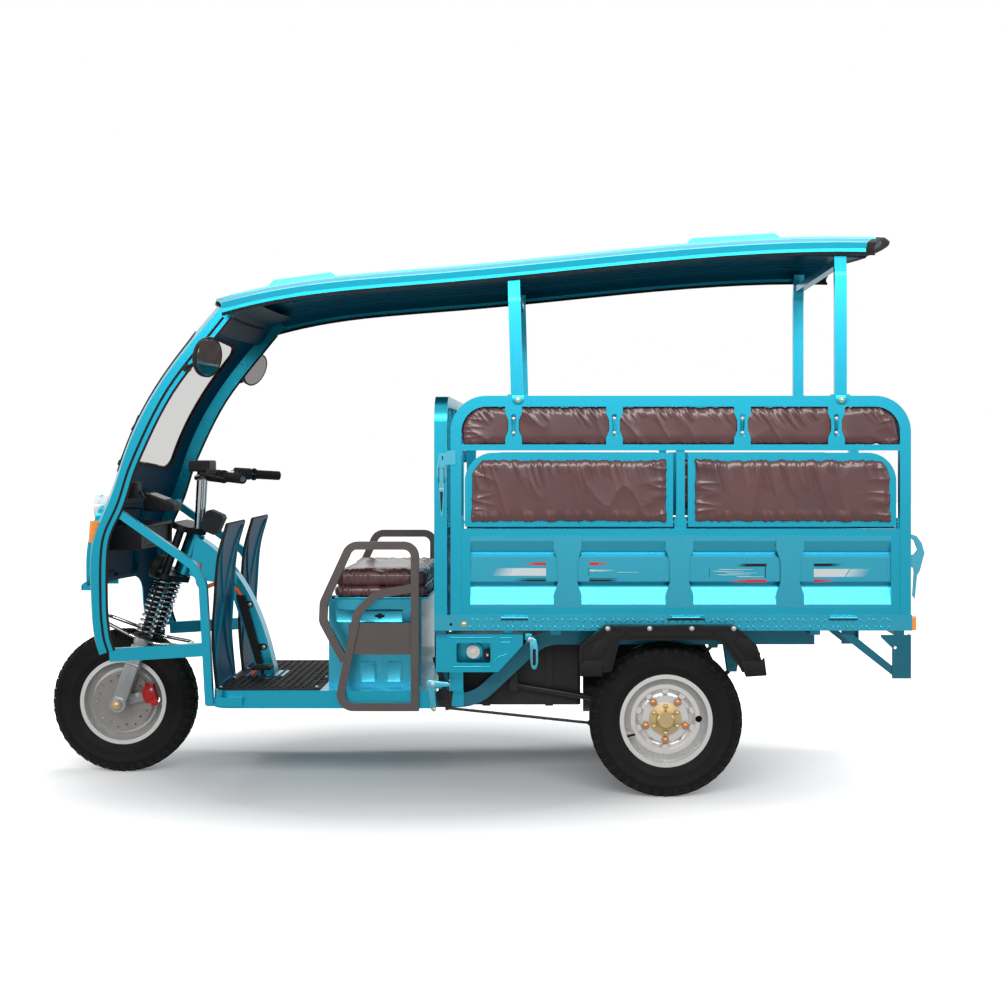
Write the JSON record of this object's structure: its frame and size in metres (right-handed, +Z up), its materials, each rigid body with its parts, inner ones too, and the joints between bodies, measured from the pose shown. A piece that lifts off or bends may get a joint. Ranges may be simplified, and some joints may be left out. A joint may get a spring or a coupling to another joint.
{
  "type": "electric tuk-tuk",
  "caption": "Electric three-wheeler: cab shell with raked windscreen, canopy roof, driver's seat, and a high-sided bed with folding side benches and a drop tailgate.",
  "frame": {"origin": "on the ground at the centre of the bounding box's base", "axes": "+X to the rear, +Y to the vehicle's right, +Z up"},
  "size_m": [3.182, 1.183, 2.0002],
  "materials": {
    "blackpaint": "satin paint",
    "chrome": "bright",
    "clear": "clear lens",
    "glass": "tinted",
    "gold": "zinc plated",
    "guard": "satin paint",
    "lamp": "clear lens",
    "orange": "matt",
    "plastic": "matt",
    "red": "gloss",
    "rubber": "matt",
    "silver": "silver paint",
    "steel": "bare",
    "teal": "gloss metallic paint",
    "tyre": "matt",
    "vinyl": "vinyl"
  },
  "bodies": {
    "body": {"arm_guards": "guard", "backrest_left": "vinyl", "backrest_right": "vinyl", "battery_box": "blackpaint", "bed_bearers": "teal", "bed_bulkhead": "teal", "bed_deck": "teal", "bed_latches": "teal", "brake_lever": "steel", "cab_fittings": "plastic", "cab_guard_tubes": "teal", "cab_shell": "teal", "chassis_frame": "teal", "electrics_box": "teal", "floor_mat": "rubber", "floor_pan": "teal", "headlamps": "clear", "leg_shields": "teal", "main_beam": "teal", "mudguards": "rubber", "rear_axle": "blackpaint", "rear_suspension": "blackpaint", "roof": "teal", "roof_posts": "teal", "rubber_trim": "rubber", "seat_box": "teal", "side_frame_left": "teal", "side_frame_right": "teal", "side_panel_left": "teal", "side_panel_right": "teal", "signal_lamps": "lamp", "windscreen": "glass", "wiring_conduit": "orange"},
    "steering": {"front_fork": "blackpaint", "fork_springs": "chrome", "fender_stays": "chrome", "brake_caliper": "red", "handlebar": "chrome", "hand_grips": "rubber", "handlebar_boxes": "plastic"},
    "front_wheel": {"front_tyre": "tyre", "front_rim": "silver", "front_brake_disc": "steel"},
    "rear_wheel_left": {"rear_tyre_left": "tyre", "rear_rim_left": "silver", "rear_hub_left": "gold"},
    "rear_wheel_right": {"rear_tyre_right": "tyre", "rear_rim_right": "silver", "rear_hub_right": "gold"},
    "tailgate": {"tailgate": "teal"},
    "driver_seat": {"driver_seat": "vinyl"},
    "bench_front_left": {"bench_frame_front_left": "teal", "bench_pad_front_left": "vinyl"},
    "bench_front_right": {"bench_frame_front_right": "teal", "bench_pad_front_right": "vinyl"},
    "bench_rear_left": {"bench_frame_rear_left": "teal", "bench_pad_rear_left": "vinyl"},
    "bench_rear_right": {"bench_frame_rear_right": "teal", "bench_pad_rear_right": "vinyl"}
  },
  "joints": [
    {"name": "steering_turn", "type": "hinge", "parent": "body", "child": "steering", "pos_m": [-1.08105, 0, 0.81944], "axis": [0.3338, 0, 0.9426], "range_deg": [-40, 40]},
    {"name": "front_wheel_spin", "type": "hinge", "parent": "steering", "child": "front_wheel", "pos_m": [-1.323, 0, 0.268], "axis": [0, 1, 0], "continuous": true},
    {"name": "rear_wheel_left_spin", "type": "hinge", "parent": "body", "child": "rear_wheel_left", "pos_m": [0.691, -0.437, 0.268], "axis": [0, 1, 0], "continuous": true},
    {"name": "rear_wheel_right_spin", "type": "hinge", "parent": "body", "child": "rear_wheel_right", "pos_m": [0.691, 0.437, 0.268], "axis": [0, 1, 0], "continuous": true},
    {"name": "tailgate_drop", "type": "hinge", "parent": "body", "child": "tailgate", "pos_m": [1.556, 0, 0.646], "axis": [0, 1, 0], "range_deg": [0, 170]},
    {"name": "driver_seat_lift", "type": "hinge", "parent": "body", "child": "driver_seat", "pos_m": [-0.52, 0, 0.676], "axis": [0, -1, 0], "range_deg": [0, 75]},
    {"name": "bench_front_left_fold", "type": "hinge", "parent": "body", "child": "bench_front_left", "pos_m": [0.3515, -0.475, 0.961], "axis": [-1, 0, 0], "range_deg": [0, 90]},
    {"name": "bench_front_right_fold", "type": "hinge", "parent": "body", "child": "bench_front_right", "pos_m": [0.3515, 0.475, 0.961], "axis": [1, 0, 0], "range_deg": [0, 90]},
    {"name": "bench_rear_left_fold", "type": "hinge", "parent": "body", "child": "bench_rear_left", "pos_m": [1.129, -0.475, 0.961], "axis": [-1, 0, 0], "range_deg": [0, 90]},
    {"name": "bench_rear_right_fold", "type": "hinge", "parent": "body", "child": "bench_rear_right", "pos_m": [1.129, 0.475, 0.961], "axis": [1, 0, 0], "range_deg": [0, 90]}
  ]
}
